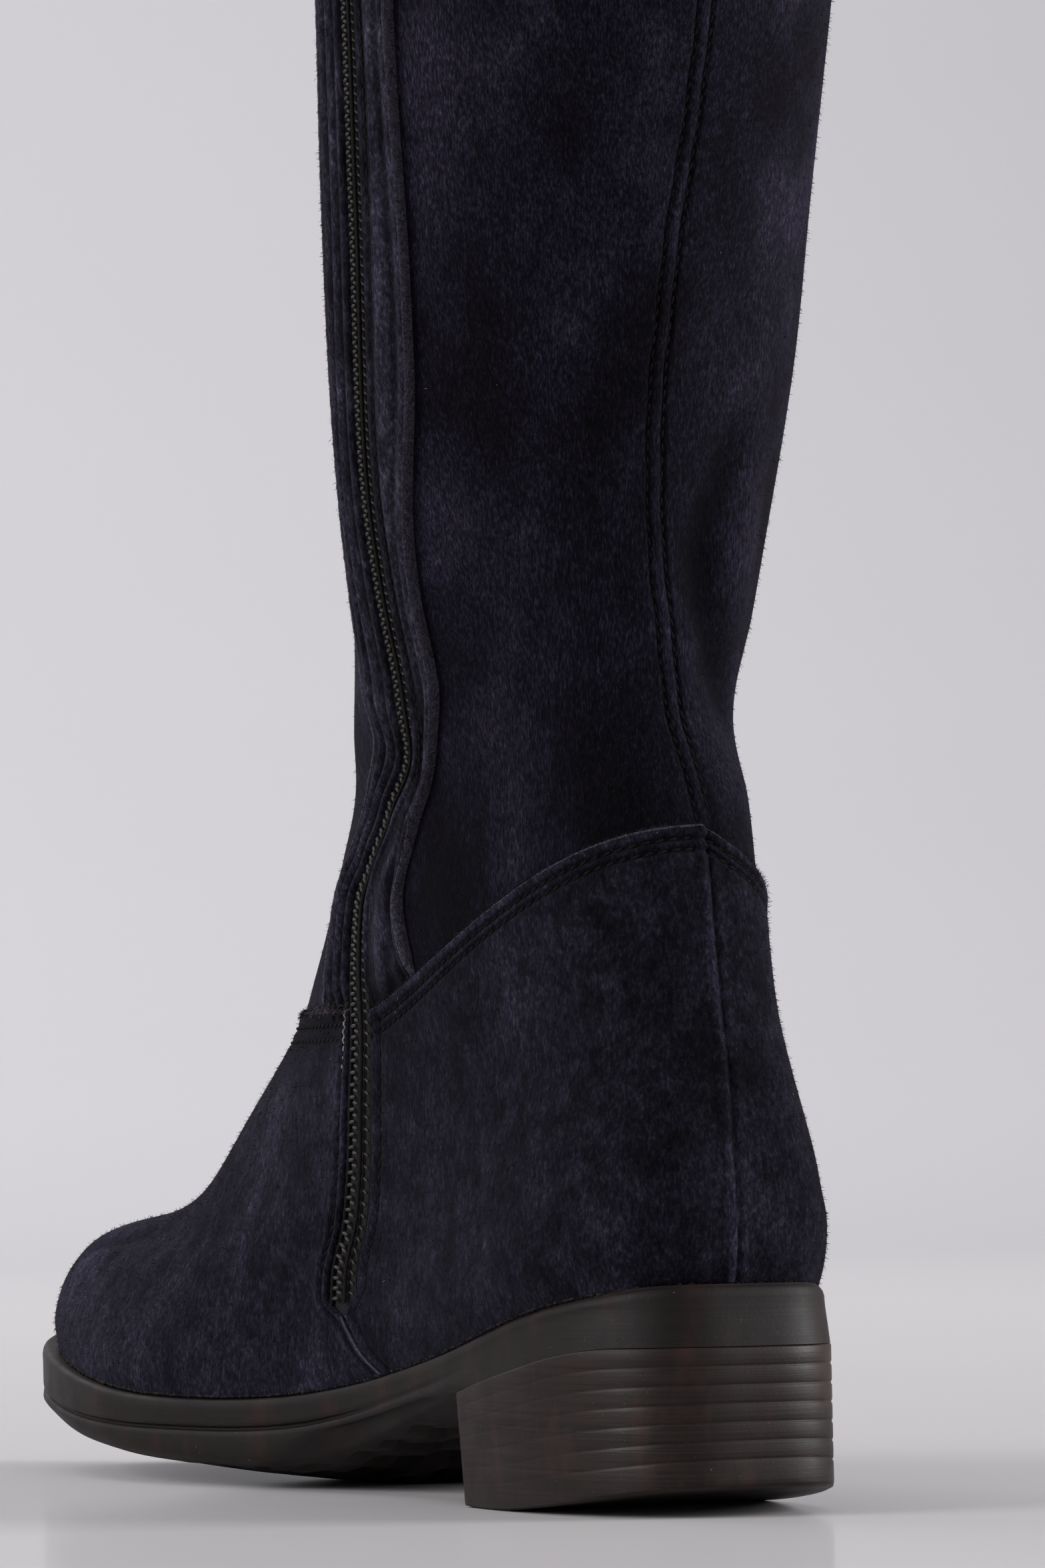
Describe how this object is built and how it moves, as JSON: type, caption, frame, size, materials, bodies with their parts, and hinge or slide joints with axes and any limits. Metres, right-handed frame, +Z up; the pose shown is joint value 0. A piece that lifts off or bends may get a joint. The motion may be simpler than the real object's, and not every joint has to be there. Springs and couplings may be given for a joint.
{
  "type": "over-the-knee boot",
  "caption": "Right over-the-knee boot in suede and stretch microvelour, with a low stacked-look heel, moulded sole and an inner side zip with a hinged pull tab.",
  "frame": {"origin": "centre of the heel's flat spot on the floor, midway across the heel, about 52 mm in front of the heel's back", "axes": "+Z up from the floor, +Y along the foot towards the toe, +X to the outer side and -X to the inner side of the right foot"},
  "size_m": [0.1245, 0.2687, 0.5651],
  "materials": {
    "stretch_microvelour": "short-pile stretch microvelour, near-black navy",
    "suede_vamp": "napped suede, near-black navy",
    "suede_quarter": "napped suede, near-black navy",
    "suede_facing": "napped suede with raw cut edges",
    "sole_rubber": "satin moulded rubber, dark brown-black",
    "heel_rubber": "satin moulded rubber with stacked-lift grooves",
    "insole_lining": "matt lining",
    "zip_nylon": "nylon tape and coil, black",
    "zip_metal": "dark plated zinc"
  },
  "bodies": {
    "boot": {"outsole": "sole_rubber", "heel": "heel_rubber", "insole": "insole_lining", "upper": "stretch_microvelour", "heel_quarter": "suede_quarter", "vamp": "suede_vamp", "zip_facing_rear": "suede_facing", "zip_facing_front": "suede_facing", "zip_tape": "zip_nylon", "zip_chain": "zip_nylon", "zip_slider": "zip_metal"},
    "pull_tab": {"zip_pull": "zip_metal"}
  },
  "joints": [
    {"name": "pull_tab_hinge", "type": "hinge", "parent": "boot", "child": "pull_tab", "pos_m": [-0.0667, 0.00397, 0.53553], "axis": [0, 1, 0], "range_deg": [0, 150]}
  ]
}
